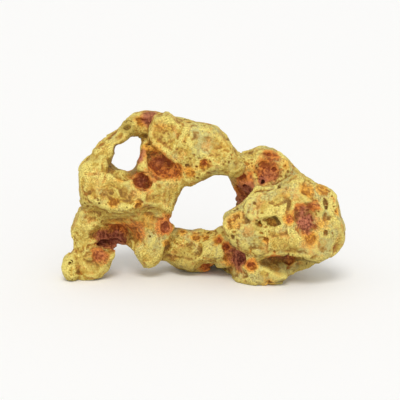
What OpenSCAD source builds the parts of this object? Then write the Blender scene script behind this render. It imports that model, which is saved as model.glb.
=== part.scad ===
// Aquarium cave ornament: a rock arch cast in resin as eleven blocks, which are bonded over
// locating pins into one ring of rock round a swim-through window.
// +X is the right-hand end, +Y is the back, +Z is up. The feet stand on z = 0.

/* [Overall] */
// Width of the whole ornament
overall_width = 240; // [180:5:320]

/* [Rock surface] */
// Height of the broad lumps on every casting
lump_height = 2; // [0:0.1:2.4]
// Width of the facets along an outline
facet_width = 5.5; // [5:0.5:10]
// Facet rings from the outline to the middle of a face
face_rings = 6; // [5:1:8]
// Height of the middle of the slot under the boulder
slot_height = 21; // [19:0.5:23]

/* [Bonded joints] */
// Diameter of the locating pins
pin_diameter = 5; // [4:0.5:6]
// Length of the locating pins
pin_length = 16; // [12:1:18]
// Glue space round a pin, on the radius
pin_clearance = 0.1; // [0.05:0.05:0.3]
// Glue space where one casting is seated in another
glue_gap = 0.3; // [0.2:0.1:0.6]

/* [Hidden] */

model_width = 240;                     // the width that the dimensions below are written for
size = overall_width / model_width;
to_middle = [0, 3, 0];                 // puts the origin under the middle of the ornament
far = 400;                             // reaches past the ornament on every side
bore_extra = 0.5;                      // room past each end of a pin
brow_seam = 60;                        // height of the joint under the brow
foot_seam = 25;                        // height of the joint on the left foot
foot_side = -71;                       // where the alcove is cut off above the doorway
mid_foot_seam = 13;                    // height of the joint on the middle foot
ledge_left = -38;                      // where the ledge butts against the alcove
ledge_back = -9;                       // front of that butt joint, behind the right pillar
ledge_right = 11;                      // where the ledge butts against the toe

// ---- curves -------------------------------------------------------------------------------

// A point on the smooth curve through b and c, where a and d are the points before and after.
function between(a, b, c, d, t) =
    0.5 * (2 * b + (c - a) * t + (2 * a - 5 * b + 4 * c - d) * t * t
           + (3 * b - a - 3 * c + d) * t * t * t);

// The smooth closed curve through pts, with n points to each span.
function closed_curve(pts, n) =
    let (m = len(pts))
    [for (i = [0 : m - 1], j = [0 : n - 1])
        between(pts[(i + m - 1) % m], pts[i], pts[(i + 1) % m], pts[(i + 2) % m], j / n)];

// The smooth open curve through pts, with n points to each span.
function open_curve(pts, n) =
    let (m = len(pts) - 1)
    concat([for (i = [0 : m - 1], j = [0 : n - 1])
        between(pts[max(i - 1, 0)], pts[i], pts[i + 1], pts[min(i + 2, m)], j / n)], [pts[m]]);

function mean(pts) =
    [for (k = [0 : len(pts[0]) - 1]) [for (p = pts) p[k]] * [for (p = pts) 1] / len(pts)];

// Each entry with the total of the entries up to it.
function running_total(list) =
    [for (i = 0, total = 0; i < len(list); total = total + list[i], i = i + 1) total];

// n points evenly spaced round the loop.
function evenly(loop, n) =
    let (m = len(loop),
         at = running_total([for (i = [0 : m]) norm(loop[(i + 1) % m] - loop[i % m])]),
         x = [for (i = [0 : m]) [at[i], loop[i % m].x]],
         y = [for (i = [0 : m]) [at[i], loop[i % m].y]])
    [for (i = [0 : n - 1]) [lookup(at[m] * i / n, x), lookup(at[m] * i / n, y)]];

function girth(loop) =
    let (n = len(loop))
    [for (i = [0 : n - 1]) norm(loop[(i + 1) % n] - loop[i])] * [for (p = loop) 1];

// The loop, run clockwise as seen from the front.
function clockwise(loop) =
    let (n = len(loop),
         area = [for (i = [0 : n - 1]) cross(loop[i], loop[(i + 1) % n])] * [for (p = loop) 1])
    area < 0 ? loop : [for (i = [0 : n - 1]) loop[n - 1 - i]];

// The loop with each point moved to the mean of its neighbours out to reach on both sides.
function softened(loop, reach) =
    let (n = len(loop))
    [for (i = [0 : n - 1]) mean([for (j = [-reach : reach]) loop[(i + j + n) % n]])];

// Broad lumps: a number from about -1 to 1 that varies smoothly through space.
function lump(p) =
    sin(p.x * 9 + 60 * sin(p.z * 5 + 40)) * sin(p.z * 8 - p.y * 11 + 70)
    + 0.6 * sin(p.x * 19 + p.y * 13) * sin(p.z * 21 - 50 * sin(p.x * 7));

// p moved out from the point it surrounds, by a share of a lump and by grow.
function roughened(p, from, share = 1, grow = 0) =
    let (out = p - from)
    p + out / max(norm(out), 1) * (lump(p) * lump_height * share + grow);

// ---- building blocks ----------------------------------------------------------------------

// A skin over rings of points, closed at both ends by a point. A ring can have as many points
// as the one before it, or half or twice as many.
module skin(rings, first, last) {
    m = len(rings);
    start = running_total(concat([1], [for (r = rings) len(r)]));
    id = function (i, j) start[i + 1] + j % len(rings[i]);
    points = concat([first], [for (r = rings, p = r) p], [last]);
    faces = concat(
        [for (j = [1 : len(rings[0])]) [0, id(0, j), id(0, j + 1)]],
        [for (i = [0 : m - 2])
            let (a = len(rings[i]), b = len(rings[i + 1]), n = min(a, b))
            for (j = [0 : n - 1], f =
                a == b ? [[id(i, j), id(i + 1, j), id(i, j + 1)],
                          [id(i, j + 1), id(i + 1, j), id(i + 1, j + 1)]]
                : a > b ? [[id(i, 2 * j), id(i + 1, j), id(i, 2 * j + 1)],
                           [id(i, 2 * j + 1), id(i + 1, j), id(i + 1, j + 1)],
                           [id(i, 2 * j + 1), id(i + 1, j + 1), id(i, 2 * j + 2)]]
                : [[id(i, j), id(i + 1, 2 * j), id(i + 1, 2 * j + 1)],
                   [id(i, j), id(i + 1, 2 * j + 1), id(i, j + 1)],
                   [id(i, j + 1), id(i + 1, 2 * j + 1), id(i + 1, 2 * j + 2)]]) f],
        [for (j = [0 : len(rings[m - 1]) - 1])
            [len(points) - 1, id(m - 1, j + 1), id(m - 1, j)]]);
    polyhedron(points, faces, convexity = 6);
}

// A block of rock. outline holds [x, z] points round its widest part, which lies at depth y;
// it swells to front and back of that, and squareness under 1 gives it flatter faces. Its
// outline softens towards the middle of both faces. grow makes it larger all round.
module block_of_rock(outline, y, front, back, squareness = 0.7, grow = 0) {
    curve = clockwise(closed_curve(outline, 6));
    n = 4 * ceil(girth(curve) / facet_width / 4);
    loop = evenly(curve, n);
    c = mean(loop);
    middle = [c.x, y, c.y];
    rings = [for (i = [1 - face_rings : face_rings - 1])
        let (t = 90 * (1 - pow(1 - abs(i) / face_rings, 1.4)),
             k = pow(cos(t), squareness),
             d = sign(i) * pow(sin(t), squareness) * (i < 0 ? front : back),
             skip = k > 0.66 ? 1 : k > 0.36 ? 2 : 4,
             soft = softened(loop, round((1 - k) * n / 6)))
        [for (j = [0 : skip : n - 1])
            let (p = [c.x + (soft[j].x - c.x) * k, y + d, c.y + (soft[j].y - c.y) * k])
            roughened(p, middle, 1 - 0.75 * k * k * k, grow)]];
    skin(rings, roughened([c.x, y - front, c.y], middle, 1, grow),
         roughened([c.x, y + back, c.y], middle, 1, grow));
}

// A slab of rock: a block lying flat, with its [x, y] outline at height z.
module slab_of_rock(outline, z, below, above, squareness = 0.7, grow = 0) {
    rotate([90, 0, 0])
        block_of_rock([for (p = outline) [p.x, -p.y]], z, below, above, squareness, grow);
}

// A limb of rock along stations of [x, y, z, half width in the XZ plane, half depth along Y].
module limb_of_rock(stations, grow = 0, sides = 20, steps = 3) {
    s = open_curve(stations, steps);
    n = len(s) - 1;
    at = function (i) [s[i][0], s[i][1], s[i][2]];
    along = function (i) let (d = at(min(i + 1, n)) - at(max(i - 1, 0))) d / norm(d);
    across = function (i) let (d = along(i)) [-d.z, 0, d.x] / norm([d.x, d.z]);
    ring = function (i, shift, k)
        [for (j = [0 : sides - 1]) let (a = -360 * j / sides)
            roughened(at(i) + along(i) * shift + across(i) * s[i][3] * k * cos(a)
                      + [0, s[i][4] * k * sin(a), 0], at(i), 1, grow)];
    ends = [for (t = [70, 40]) [sin(t), cos(t)]];
    rings = concat(
        [for (e = ends) ring(0, -s[0][3] * e[0], e[1])],
        [for (i = [0 : n]) ring(i, 0, 1)],
        [for (k = [1, 0]) ring(n, s[n][3] * ends[k][0], ends[k][1])]);
    skin(rings, at(0) - along(0) * (s[0][3] + grow), at(n) + along(n) * (s[n][3] + grow));
}

// Whatever it holds, joined as one rock mesh; a resize of no size changes nothing.
module rock() {
    resize([0, 0, 0]) union() children();
}

// A hollow in a face: an uneven ellipsoid of the given half sizes, with its rings round Y.
module hollow(at, half) {
    point = function (a, b)
        let (p = at + [half.x * cos(a) * cos(b), half.y * sin(b), half.z * sin(a) * cos(b)])
        at + (p - at) * (1 + 0.06 * lump(1.5 * p));
    rings = [for (r = [[-75, 5], [-52, 10], [-26, 20], [0, 20], [26, 20], [52, 10], [75, 5]])
        [for (j = [0 : r[1] - 1]) point(-360 * j / r[1], r[0])]];
    skin(rings, point(0, -90), point(0, 90));
}

// The box between two corners.
module box(low, high) {
    translate(low) cube(high - low);
}

// ---- locating pins ------------------------------------------------------------------------

// The pins of each joint: [middle, direction].
CROWN_PINS = [[[-24, 9, 118], [0, 1, 0]], [[4, 10, 110], [0, 1, 0]]];
ARCH_PIN = [[[-91, -5, 83], [0, 0, 1]]];
BROW_PINS = [[[-95, 4, brow_seam], [0, 0, 1]], [[-70, 13, brow_seam], [0, 0, 1]],
             [[-42, 0, brow_seam], [0, 0, 1]]];
FOOT_PIN = [[[-99, -4, foot_seam], [0, 0, 1]]];
LEDGE_PINS = [[[ledge_left, 6, 27], [1, 0, 0]], [[ledge_right, 6, 26], [1, 0, 0]]];
MID_FOOT_PIN = [[[-10, 14, mid_foot_seam], [0, 0, 1]]];
SHOULDER_PIN = [[[37, 13, 96], [1, 0, 0]]];
COLUMN_PINS = [[[43, 14, 69], [0, 0, 1]], [[44, 14, 34], [0, 0, 1]]];
BOULDER_PINS = [[[66, -9, 64], [0, 1, 0]], [[84, -10, 66], [0, 1, 0]],
                [[74, -11, 80], [0, 1, 0]]];

// Cylinders of one diameter and length on every pin's place.
module on_pins(pins, d, l) {
    for (p = pins)
        translate(p[0])
            rotate(p[1].x == 1 ? [0, 90, 0] : p[1].y == 1 ? [90, 0, 0] : [0, 0, 0])
                cylinder(h = l, d = d, center = true, $fn = 32);
}

module pins(places) {
    scale(size) translate(to_middle) color("ivory") on_pins(places, pin_diameter, pin_length);
}

// The children with the bores of the given pins, at the ornament's size.
module bored(places) {
    scale(size) translate(to_middle) difference() {
        children();
        on_pins(places, pin_diameter + 2 * pin_clearance, pin_length + 2 * bore_extra);
    }
}

// ---- whole rocks, before they are fitted together -----------------------------------------

module crown_form(grow = 0) {
    block_of_rock([[-46, 116], [-45, 130], [-40, 142], [-31, 144], [-22, 137], [-11, 135],
                   [1, 134], [11, 130], [20, 123], [27, 111], [32, 104], [36, 96], [31, 87],
                   [23, 89], [14, 90], [3, 86], [-8, 80], [-16, 80], [-20, 90], [-27, 102],
                   [-37, 111]],
                  y = -5, front = 22, back = 15, squareness = 0.62, grow = grow);
}

module arch_form(grow = 0) {
    limb_of_rock([[-91, -5, 92, 10, 14], [-85, -4, 105, 9, 14], [-77, -2, 114, 7, 13],
                  [-68, 2, 122, 7, 13], [-59, 6, 129, 9, 13], [-48, 9, 131, 11, 13],
                  [-30, 14, 125, 13, 13], [-8, 17, 115, 14, 12], [14, 16, 104, 12, 12],
                  [30, 13, 95, 9, 12]], grow);
}

module brow_form() {
    block_of_rock([[-49, 119], [-37, 113], [-24, 104], [-14, 92], [-14, 82], [-19, 73],
                   [-23, 64], [-26, 54], [-42, 51], [-56, 50], [-72, 50], [-90, 51], [-101, 57],
                   [-105, 70], [-106, 85], [-105, 96], [-100, 103], [-91, 104], [-83, 99],
                   [-77, 93], [-71, 88], [-62, 88], [-55, 96], [-53, 108]],
                  y = -5, front = 26, back = 26, squareness = 0.62);
}

module alcove_form() {
    block_of_rock([[-105, 72], [-106, 61], [-109, 52], [-112, 45], [-115, 39], [-111, 32],
                   [-108, 18], [-92, 10], [-76, 10], [-62, 10], [-52, 9], [-45, 8], [-38, 10],
                   [-33, 18], [-30, 30], [-21, 40], [-22, 46], [-26, 54], [-24, 64], [-22, 74]],
                  y = 0, front = 23, back = 22, squareness = 0.5);
}

module boulder_form(grow = 0) {
    block_of_rock([[16, 56], [19, 62], [27, 65], [33, 71], [43, 80], [52, 83], [61, 84],
                   [69, 89], [77, 94], [88, 91], [97, 85], [106, 81], [111, 76], [115, 66],
                   [119, 51], [120, 40], [117, 32], [107, 24], [95, 18], [83, 21], [69, 24],
                   [50, 26], [38, 26], [28, 30], [20, 38], [17, 47]],
                  y = -28, front = 23, back = 19, squareness = 0.66, grow = grow);
}

module toe_form(grow = 0) {
    slab_of_rock([[4, 36], [10, 24], [17, 8], [23, -8], [28, -26], [38, -35], [50, -40],
                  [60, -39], [68, -28], [74, -8], [80, 12], [84, 28], [78, 40], [62, 45],
                  [44, 45], [20, 43]],
                 z = 6, below = 14, above = 28, squareness = 0.66, grow = grow);
    block_of_rock([[26, 26], [32, 10], [43, 2], [54, -1], [66, 2], [80, 8], [91, 13],
                   [98, 17], [104, 22], [105, 27], [98, 30], [84, 32], [60, 33], [38, 33]],
                  y = -16, front = 27, back = 17, squareness = 0.55, grow = grow);
}

module shoulder_form(grow = 0) {
    block_of_rock([[16, 99], [22, 105], [28, 108], [33, 106], [40, 107], [49, 111], [59, 108],
                   [68, 104], [75, 97], [84, 88], [94, 79], [102, 70], [103, 56], [92, 44],
                   [74, 45], [60, 56], [48, 66], [34, 74], [24, 82], [17, 90]],
                  y = 8, front = 22, back = 24, squareness = 0.62, grow = grow);
}

// ---- castings -----------------------------------------------------------------------------

// The scooped face under the brow, which runs across the joint below it.
module scoop() {
    hollow([-94, -39, 55], [22, 24, 17]);
    hollow([-41, -40, 53], [24, 22, 20]);
    hollow([-67, -38, 42], [36, 27, 18]);
}

// The den at the left, with the doorway that runs through below it.
module den() {
    hollow([-74, -24, 37], [22, 33, 13]);
    hollow([-66, 0, 4], [14, 60, 22]);
}

// The big hollow that straddles the joint between the crown and the brow.
module great_hollow() {
    hollow([-34, -31, 100], [13, 14, 13]);
}

module crown_block() {
    color("khaki") bored(CROWN_PINS) rock() difference() {
        crown_form();
        great_hollow();
        hollow([1, -27, 99], [5, 5, 5]);
        hollow([-11, -26, 92], [5, 5, 4]);
    }
}

module rear_arch() {
    color("darkkhaki") bored(concat(CROWN_PINS, ARCH_PIN, SHOULDER_PIN)) rock() difference() {
        arch_form();
        crown_form(glue_gap);
        hollow([-47, -6, 134], [8, 8, 7]);
    }
}

module left_brow() {
    color("khaki") bored(concat(ARCH_PIN, BROW_PINS)) rock() difference() {
        brow_form();
        crown_form(glue_gap);
        arch_form(glue_gap);
        box([-far, -far, 0], [far, far, brow_seam]);
        scoop();
        great_hollow();
        hollow([-51, -32, 87], [8, 10, 8]);
    }
}

module alcove_shell() {
    color("tan") bored(concat(BROW_PINS, FOOT_PIN, [LEDGE_PINS[0]])) difference() {
        rock() difference() {
            alcove_form();
            scoop();
            den();
        }
        box([ledge_left, ledge_back, 0], [far, far, 52]);
        box([-far, -far, brow_seam], [far, far, far]);
        box([-far, -far, -far], [foot_side, far, foot_seam]);
    }
}

module left_foot() {
    color("khaki") bored(FOOT_PIN) difference() {
        rock() difference() {
            union() {
                block_of_rock([[-112, 34], [-96, 38], [-80, 36], [-74, 28], [-75, 20], [-79, 12],
                               [-78, 8], [-84, 3], [-92, -3], [-103, -4], [-108, 6], [-110, 22]],
                              y = -10, front = 15, back = 20);
                block_of_rock([[-119, 18], [-110, 24], [-106, 18], [-106, 4], [-111, -3],
                               [-117, -2], [-120, 7]],
                              y = -14, front = 12, back = 14);
            }
            den();
            hollow([-113, -26, 14], [2, 5, 2]);
        }
        box([-far, -far, -far], [far, far, 0]);
        box([-far, -far, foot_seam], [far, far, far]);
    }
}

module base_ledge() {
    color("khaki") bored(concat(LEDGE_PINS, MID_FOOT_PIN)) difference() {
        rock() limb_of_rock([[-52, 8, 27, 15, 15], [-36, 8, 27, 15, 15], [-24, 8, 25, 15, 15],
                             [-12, 5, 23, 15, 18], [2, 3, 23, 15, 20], [24, 1, 25, 15, 20]]);
        box([-far, -far, -far], [far, far, mid_foot_seam]);
        box([-far, -far, 0], [ledge_left, far, far]);
        box([ledge_right, -far, 0], [far, far, far]);
    }
}

module mid_foot() {
    color("tan") bored(MID_FOOT_PIN) difference() {
        rock() difference() {
            block_of_rock([[-39, 19], [-35, 11], [-28, 6], [-19, 1], [-7, -2], [4, 0], [12, 7],
                           [14, 18], [-6, 24], [-26, 24]],
                          y = 26, front = 32, back = 10);
            hollow([4, -4, 8], [7, 8, 4]);
        }
        box([-far, -far, -far], [far, far, 0]);
        box([-far, -far, mid_foot_seam], [far, far, far]);
        box([ledge_right, -far, -far], [far, far, far]);
    }
}

module right_toe() {
    color("khaki") bored([LEDGE_PINS[1], COLUMN_PINS[1]]) difference() {
        rock() difference() {
            union() {
                toe_form();
                block_of_rock([[3, 20], [4, 32], [10, 39], [20, 42], [32, 38], [38, 26], [30, 12],
                               [12, 7]], y = 2, front = 21, back = 22);
            }
            boulder_form(glue_gap);
            hollow([68, -40, slot_height], [22, 20, 6]);
            hollow([28, -35, 24], [9, 11, 8]);
            hollow([56, 48, 17], [13, 8, 9]);
        }
        box([-far, -far, -far], [far, far, 0]);
        box([-far, -far, -far], [ledge_right, far, far]);
    }
}

module rear_column() {
    color("tan") bored(COLUMN_PINS) rock() difference() {
        limb_of_rock([[38, 12, 92, 14, 14], [39, 13, 78, 14, 14], [43, 15, 62, 14, 14],
                      [45, 15, 44, 14, 14], [44, 14, 22, 15, 14]]);
        shoulder_form(glue_gap);
        toe_form(glue_gap);
        hollow([32, -3, 70], [8, 8, 9]);
    }
}

module shoulder_block() {
    color("khaki") bored(concat(SHOULDER_PIN, [COLUMN_PINS[0]], BOULDER_PINS)) rock() difference() {
        shoulder_form();
        crown_form(glue_gap);
        arch_form(glue_gap);
        boulder_form(glue_gap);
        hollow([55, -16, 95], [14, 11, 13]);
        hollow([50, -11, 85], [2, 8, 2]);
        hollow([66, 34, 82], [13, 9, 10]);
    }
}

module front_boulder() {
    color("khaki") bored(BOULDER_PINS) rock() difference() {
        boulder_form();
        hollow([85, -52, 59], [13, 8, 16]);
        hollow([56, -51, 59], [6, 6, 6]);
        hollow([46, -50, 56], [4, 5, 3]);
        hollow([34, -48, 64], [3, 9, 6]);
    }
}

crown_block();
rear_arch();
left_brow();
alcove_shell();
left_foot();
base_ledge();
mid_foot();
right_toe();
rear_column();
shoulder_block();
front_boulder();
pins(CROWN_PINS);  // crown_pins
pins(ARCH_PIN);  // arch_pin
pins(BROW_PINS);  // brow_pins
pins(FOOT_PIN);  // foot_pin
pins(LEDGE_PINS);  // ledge_pins
pins(MID_FOOT_PIN);  // mid_foot_pin
pins(SHOULDER_PIN);  // shoulder_pin
pins(COLUMN_PINS);  // column_pins
pins(BOULDER_PINS);  // boulder_pins
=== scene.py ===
"""A resin cave ornament: pitted rock in eleven castings, bonded and painted over the joints."""

import math
from concurrent.futures import ThreadPoolExecutor

import bpy
import numpy as np
import openvdb as vdb
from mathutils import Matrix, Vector


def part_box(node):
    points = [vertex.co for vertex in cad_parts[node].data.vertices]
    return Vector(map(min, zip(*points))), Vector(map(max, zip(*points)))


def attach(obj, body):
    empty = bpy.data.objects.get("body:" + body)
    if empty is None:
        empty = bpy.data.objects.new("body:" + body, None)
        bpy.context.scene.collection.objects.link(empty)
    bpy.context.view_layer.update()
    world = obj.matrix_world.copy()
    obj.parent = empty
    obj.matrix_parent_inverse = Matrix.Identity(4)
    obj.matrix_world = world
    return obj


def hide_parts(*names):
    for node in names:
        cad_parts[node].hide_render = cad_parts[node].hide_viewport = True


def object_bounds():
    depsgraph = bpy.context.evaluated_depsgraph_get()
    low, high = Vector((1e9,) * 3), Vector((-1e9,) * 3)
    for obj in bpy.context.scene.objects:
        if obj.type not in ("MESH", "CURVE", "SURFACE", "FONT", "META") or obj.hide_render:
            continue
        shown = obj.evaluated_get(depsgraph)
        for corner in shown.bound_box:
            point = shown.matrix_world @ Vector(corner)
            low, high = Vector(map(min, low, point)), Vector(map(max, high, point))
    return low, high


CASTINGS = [
    "crown_block", "rear_arch", "left_brow", "alcove_shell", "left_foot", "base_ledge",
    "mid_foot", "right_toe", "rear_column", "shoulder_block", "front_boulder",
]
MM = 1000.0  # in a metre

# The grid that the rock is worked on. All these are in mm.
CELL = 0.6
BAND = 7.0  # how far from a surface the fields hold true distances
MARGIN = 6.0  # of grid round the castings
ROUND_CASTING = 5.9  # how far from a casting its own field is worked out
ROUND_PIN = 3.0  # the same for a pin
OFF_CORNERS = 0.002  # the least distance left between the surface and a cell corner

# How the castings are joined. All these are in mm too.
FILLET = 2.6  # paint and filler in the creases between castings
BORE_FILL = 0.8  # added round the pins, so that they close their bores
WEATHERED = 1.3  # the blur that rounds the facets of the castings
CREVICE = 4.5  # the blur that finds the crevices to fill
SPARED = 0.5  # what the filler leaves of a crevice at the back
SPARED_IN_FRONT = 2.2  # and how much more of it in front
MIDDLE, FRONTAL = 4.0, 14  # the Y where the front begins, and how far it takes to be all front
OVERLAP = 0.05  # how far each visible piece goes past the middle of a seam
SOLE = 0.07  # how far above the floor the feet are cut, so that the cut misses the cell corners

# What is scattered over the rock, and the seeds of that and of the noise.
CHIPS, KNOBS, PORES, PITS = 170, 14, 2000, 60
SCATTER_SEED, SHUFFLE_SEED, SLOPE_SEED = 41, 7, 8

# Work done on several cores: how many at once, strips of the grid and points in a batch.
CORES, STRIPS, BATCH = 4, 12, 40000

workers = ThreadPoolExecutor(CORES)  # numpy leaves the other cores idle
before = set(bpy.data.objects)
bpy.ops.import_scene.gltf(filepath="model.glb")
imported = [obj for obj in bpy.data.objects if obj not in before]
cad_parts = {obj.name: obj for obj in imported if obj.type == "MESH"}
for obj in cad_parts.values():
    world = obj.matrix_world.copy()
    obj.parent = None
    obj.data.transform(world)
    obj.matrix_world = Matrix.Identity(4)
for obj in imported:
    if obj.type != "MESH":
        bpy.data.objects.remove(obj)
cad_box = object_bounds()
rng = np.random.default_rng(SCATTER_SEED)

# ---- the castings as distance fields on one grid ------------------------------------------------


def node_mesh(name):
    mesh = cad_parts[name].data
    mesh.calc_loop_triangles()
    points = np.zeros(len(mesh.vertices) * 3, np.float32)
    mesh.vertices.foreach_get("co", points)
    triangles = np.zeros(len(mesh.loop_triangles) * 3, np.int32)
    mesh.loop_triangles.foreach_get("vertices", triangles)
    return points.reshape(-1, 3) * MM, triangles.reshape(-1, 3).astype(np.uint32)


low_mm, high_mm = (np.array(v) * MM for v in cad_box)
LO = np.floor((low_mm - MARGIN) / CELL).astype(int)
SHAPE = np.ceil((high_mm + MARGIN) / CELL).astype(int) - LO + 1


def cells(a, b):
    """The part of the grid between corners a and b, in mm: its slices and the first index."""
    first = np.clip(np.floor(np.asarray(a) / CELL).astype(int) - LO, 0, SHAPE - 1)
    last = np.clip(np.ceil(np.asarray(b) / CELL).astype(int) - LO + 1, first + 1, SHAPE)
    return tuple(slice(i, j) for i, j in zip(first, last)), first


def distance_to(points, triangles, reach):
    """The distance field of a mesh, to reach mm round it, and the part of the grid it covers."""
    part, first = cells(points.min(0) - reach, points.max(0) + reach)
    grid = vdb.FloatGrid.createLevelSetFromPolygons(
        points, triangles=triangles,
        transform=vdb.createLinearTransform(voxelSize=CELL), halfWidth=BAND / CELL,
    )
    field = np.empty([s.stop - s.start for s in part], np.float32)
    grid.copyToArray(field, ijk=tuple(int(v) for v in first + LO))
    return part, np.clip(field, -BAND, BAND)


def smooth_min(a, b, k):
    h = np.maximum(k - np.abs(a - b), 0)
    return np.minimum(a, b) - h * h / (4 * k)


def smooth_max(a, b, k):
    h = np.maximum(k - np.abs(a - b), 0)
    return np.maximum(a, b) + h * h / (4 * k)


def blurred(field, sigma):
    """The field with a Gaussian blur of sigma mm."""
    s = sigma / CELL
    reach = int(math.ceil(2.6 * s))  # beyond it the weights are next to nothing
    weights = np.exp(-0.5 * (np.arange(-reach, reach + 1) / s) ** 2).astype(np.float32)
    weights /= weights.sum()
    for axis in range(3):
        across = 0 if axis else 1
        result = np.empty_like(field)

        def blur(cut):
            strip = tuple(cut if a == across else slice(None) for a in range(3))
            edges = [(reach, reach) if a == axis else (0, 0) for a in range(3)]
            padded = np.pad(field[strip], edges, "edge")
            total = 0
            for i, w in enumerate(weights):
                span = slice(i, i + field.shape[axis])
                moved = tuple(span if a == axis else slice(None) for a in range(3))
                total = total + w * padded[moved]
            result[strip] = total

        cuts = np.linspace(0, field.shape[across], STRIPS + 1).astype(int)
        list(workers.map(blur, [slice(a, b) for a, b in zip(cuts, cuts[1:]) if b > a]))
        field = result
    return field


def in_pieces(f):
    """The function f(points, ...) run on pieces of the points, several at once."""

    def run(p, *rest, **named):
        pieces = np.array_split(p, max(1, len(p) // BATCH))
        return np.concatenate(list(workers.map(lambda q: f(q, *rest, **named), pieces)))

    return run


rock = np.full(SHAPE, BAND, np.float32)
nearest = np.full(SHAPE, BAND, np.float32)
second = np.full(SHAPE, BAND, np.float32)
own = {}
for name in CASTINGS:
    points, triangles = node_mesh(name)
    part, field = distance_to(points, triangles, ROUND_CASTING)
    own[name] = (part, field)
    rock[part] = smooth_min(rock[part], field, FILLET)
    second[part] = np.minimum(second[part], np.maximum(nearest[part], field))
    nearest[part] = np.minimum(nearest[part], field)
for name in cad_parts:
    if name not in CASTINGS:  # a set of pins
        points, triangles = node_mesh(name)
        part, field = distance_to(points, triangles, ROUND_PIN)
        rock[part] = np.minimum(rock[part], field - BORE_FILL)
rock = blurred(rock, WEATHERED)
# Filler in the crevices, most of it at the back, which the photo doesn't show.
y_at = ((np.arange(SHAPE[1]) + LO[1]) * CELL).astype(np.float32)[None, :, None]
filled = blurred(rock, CREVICE) + SPARED
filled = filled + SPARED_IN_FRONT * np.clip((MIDDLE - y_at) / FRONTAL, 0, 1)
rock = smooth_min(rock, filled, 2.0)

# ---- noise --------------------------------------------------------------------------------------

shuffled = np.random.default_rng(SHUFFLE_SEED).permutation(256).astype(np.int32)
slopes = np.random.default_rng(SLOPE_SEED).normal(size=(256, 3)).astype(np.float32)
slopes /= np.linalg.norm(slopes, axis=1, keepdims=True)


@in_pieces
def noise(p, size, seed=0):
    """Gradient noise, about -1 to 1, with lumps about size mm across."""
    q = p / np.float32(size) + np.float32(17.3 * seed + 100)  # each seed is another place
    cell = np.floor(q).astype(np.int32)
    f = q - cell
    u = f * f * f * (f * (f * 6 - 15) + 10)
    total = np.zeros(len(p), np.float32)
    for dx in (0, 1):
        hx = shuffled[(cell[:, 0] + dx) & 255]
        wx = u[:, 0] if dx else 1 - u[:, 0]
        for dy in (0, 1):
            hy = shuffled[(hx + cell[:, 1] + dy) & 255]
            wy = wx * (u[:, 1] if dy else 1 - u[:, 1])
            for dz in (0, 1):
                g = slopes[shuffled[(hy + cell[:, 2] + dz) & 255]]
                dot = g[:, 0] * (f[:, 0] - dx) + g[:, 1] * (f[:, 1] - dy) + g[:, 2] * (f[:, 2] - dz)
                total += wy * (u[:, 2] if dz else 1 - u[:, 2]) * dot
    return total * 1.5  # the sum alone stays within about 0.7


@in_pieces
def facets(p, size, tilt, step, seed):
    """Patches about size mm across, each tilted and raised or sunk a little, as rock breaks."""
    q = p / np.float32(size) + np.float32(31.7 * seed + 100)
    corner = np.floor(q - 0.5).astype(np.int32)
    least = np.full(len(p), 9, np.float32)
    offset = np.zeros(len(p), np.float32)
    drawn = np.random.default_rng(seed)
    jitter = drawn.uniform(0.2, 0.8, (256, 3)).astype(np.float32)
    lean = (drawn.normal(size=(256, 3)) * tilt * size).astype(np.float32)
    lift = (drawn.normal(size=256) * step).astype(np.float32)
    for i in range(8):
        cell = corner + (i & 1, i >> 1 & 1, i >> 2)
        h = shuffled[(shuffled[(shuffled[cell[:, 0] & 255] + cell[:, 1]) & 255] + cell[:, 2]) & 255]
        d = q - cell - jitter[h]
        near = (d * d).sum(1)
        best = near < least
        least[best] = near[best]
        offset[best] = (d[best] * lean[h[best]]).sum(1) + lift[h[best]]
    return offset


def ramp(v, a, b):
    """0 below a, 1 above b, smooth between."""
    t = np.clip((v - a) / (b - a), 0, 1)
    return t * t * (3 - 2 * t)


# ---- working the rock ---------------------------------------------------------------------------


def around(c, reach):
    """The part of the grid within reach of c, and its x, y and z from c."""
    part, first = cells(np.asarray(c) - reach, np.asarray(c) + reach)
    x, y, z = (
        (np.arange(s.start, s.stop) + LO[i]).astype(np.float32) * CELL - c[i]
        for i, s in enumerate(part)
    )
    return part, x[:, None, None], y[None, :, None], z[None, None, :]


def hollow(c, half, blend=1.0, rough=0.0, sign=1):
    """Carves an uneven ellipsoid, or with sign -1 adds one."""
    half = np.ones(3) * half
    part, x, y, z = around(c, half + 2 + blend)
    s = (np.sqrt((x / half[0]) ** 2 + (y / half[1]) ** 2 + (z / half[2]) ** 2) - 1) * half.min()
    if rough:
        p = np.stack([(a + v).ravel() for a, v in zip(np.broadcast_arrays(x, y, z), c)], 1)
        p = p.astype(np.float32)
        bumps = noise(p, 0.8 * half.mean(), seed=3)
        bumps = bumps + 0.6 * noise(p, 0.35 * half.mean(), seed=4)
        s = s + rough * bumps.reshape(s.shape)
    if sign > 0:
        rock[part] = smooth_max(rock[part], -s, blend)
    else:
        rock[part] = smooth_min(rock[part], s, blend)


def chip(c, normal, depth, reach):
    """Takes a flat chip off round c: everything above a plane that lies depth under the surface."""
    part, x, y, z = around(c, reach)
    plane = x * normal[0] + y * normal[1] + z * normal[2] + depth
    fade = ramp(-np.sqrt(x * x + y * y + z * z) / reach, -1, -0.4)
    here = rock[part]
    rock[part] = here + fade * np.maximum(plane - here, 0)


def soften(c, reach, sigma):
    """Rounds everything within about reach of c over about sigma mm."""
    part, x, y, z = around(c, reach)
    near = np.sqrt(x * x + y * y + z * z) / reach
    rock[part] += ramp(-near, -1, -0.55) * (blurred(rock[part], sigma) - rock[part])


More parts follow.
